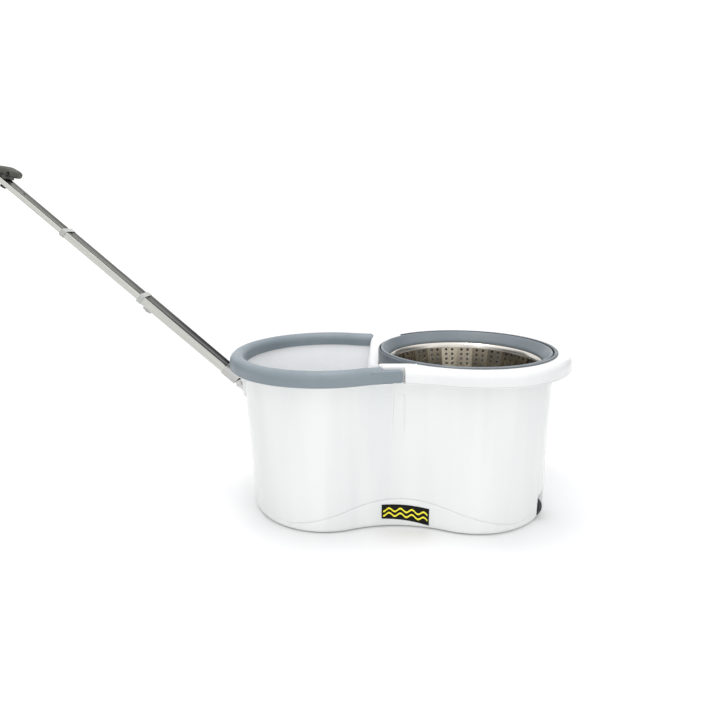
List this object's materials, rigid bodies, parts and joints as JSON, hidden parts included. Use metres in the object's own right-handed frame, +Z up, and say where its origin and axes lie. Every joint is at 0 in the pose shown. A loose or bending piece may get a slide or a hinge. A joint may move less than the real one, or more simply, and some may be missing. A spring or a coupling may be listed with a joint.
{
  "type": "spin mop bucket",
  "caption": "Twin-lobed white mop bucket with a steel spin basket, a carry handle round the wash bowl, tilt wheels and a telescopic pull handle.",
  "frame": {"origin": "on the floor, under the middle of the bucket, at the underside of the centre foot", "axes": "+X along the bucket from the wash bowl and pull handle to the spin basket and wheels, +Y to the rear wall with the drain plug, +Z up"},
  "size_m": [0.842, 0.2732, 0.4836],
  "materials": {
    "tub_white": "glossy moulded white",
    "deck_white": "glossy moulded white",
    "slate_plastic": "satin slate grey",
    "carry_slate": "satin slate grey",
    "basket_steel": "polished stainless steel",
    "pin_steel": "bright zinc-plated steel",
    "hub_plastic": "satin mid grey",
    "bush_brass": "turned",
    "wheel_rubber": "dark grey, slightly rough",
    "foot_rubber": "black",
    "plug_rubber": "dark grey",
    "plate_black": "black with yellow line pattern",
    "tube_aluminium": "satin drawn tube",
    "sleeve_grey": "grey painted",
    "collar_plastic": "light grey",
    "knuckle_plastic": "black",
    "grip_plastic": "dark olive grey, soft"
  },
  "bodies": {
    "bucket": {"bucket_tub": "tub_white", "rim_deck": "deck_white", "spinner_collar": "slate_plastic", "front_plate": "plate_black", "foot_1": "foot_rubber", "foot_2": "foot_rubber", "foot_3": "foot_rubber", "foot_4": "foot_rubber", "foot_5": "foot_rubber", "spindle_post": "tub_white", "spindle_shaft": "pin_steel", "thrust_washer": "bush_brass", "carry_pin_front": "pin_steel", "carry_pin_rear": "pin_steel", "wheel_axle_front": "pin_steel", "wheel_axle_rear": "pin_steel", "pull_bracket": "slate_plastic", "bracket_screw_1": "pin_steel", "bracket_screw_2": "pin_steel", "pull_pin": "pin_steel"},
    "basket": {"basket_ring": "slate_plastic", "spin_basket": "basket_steel", "basket_hub": "hub_plastic", "hub_clamp": "hub_plastic", "hub_screw_1": "pin_steel", "hub_screw_2": "pin_steel", "hub_screw_3": "pin_steel", "spindle_bush": "bush_brass"},
    "carry": {"carry_handle": "carry_slate"},
    "front_wheel": {"wheel_front": "wheel_rubber"},
    "rear_wheel": {"wheel_rear": "wheel_rubber"},
    "plug": {"drain_plug": "plug_rubber"},
    "pull_lower": {"pull_knuckle": "knuckle_plastic", "pull_sleeve": "sleeve_grey", "pull_tube_outer": "tube_aluminium", "tube_collar_lower": "collar_plastic", "catch_housing": "collar_plastic"},
    "pull_middle": {"pull_tube_middle": "tube_aluminium", "tube_collar_upper": "collar_plastic"},
    "pull_upper": {"pull_tube_inner": "tube_aluminium", "pull_grip": "grip_plastic"},
    "catch": {"catch_button": "knuckle_plastic"},
    "trigger": {"grip_trigger": "knuckle_plastic"}
  },
  "joints": [
    {"name": "basket_spin", "type": "hinge", "parent": "bucket", "child": "basket", "pos_m": [0.0961, 0, 0.115], "axis": [0, 0, 1], "continuous": true},
    {"name": "carry_lift", "type": "hinge", "parent": "bucket", "child": "carry", "pos_m": [-0.0085, 0, 0.213], "axis": [0, 1, 0], "range_deg": [0, 95]},
    {"name": "front_wheel_spin", "type": "hinge", "parent": "bucket", "child": "front_wheel", "pos_m": [0.1765, -0.062, 0.0165], "axis": [0, 1, 0], "continuous": true},
    {"name": "rear_wheel_spin", "type": "hinge", "parent": "bucket", "child": "rear_wheel", "pos_m": [0.1765, 0.062, 0.0165], "axis": [0, 1, 0], "continuous": true},
    {"name": "plug_pull", "type": "slide", "parent": "bucket", "child": "plug", "axis": [0, 1, 0], "range_m": [0, 0.025]},
    {"name": "pull_fold", "type": "hinge", "parent": "bucket", "child": "pull_lower", "pos_m": [-0.22, 0, 0.178], "axis": [0, 1, 0], "range_deg": [-55, 0]},
    {"name": "pull_slide_lower", "type": "slide", "parent": "pull_lower", "child": "pull_middle", "axis": [0.7361, 0, -0.6769], "range_m": [0, 0.124]},
    {"name": "pull_slide_upper", "type": "slide", "parent": "pull_middle", "child": "pull_upper", "axis": [0.7361, 0, -0.6769], "range_m": [0, 0.08]},
    {"name": "catch_press", "type": "slide", "parent": "pull_lower", "child": "catch", "axis": [0.6769, 0, 0.7361], "range_m": [0, 0.0012], "stiffness_N_per_m": 300, "springref_m": -0.002},
    {"name": "trigger_squeeze", "type": "slide", "parent": "pull_upper", "child": "trigger", "axis": [0.6769, 0, 0.7361], "range_m": [0, 0.0015], "stiffness_N_per_m": 300, "springref_m": -0.002}
  ]
}
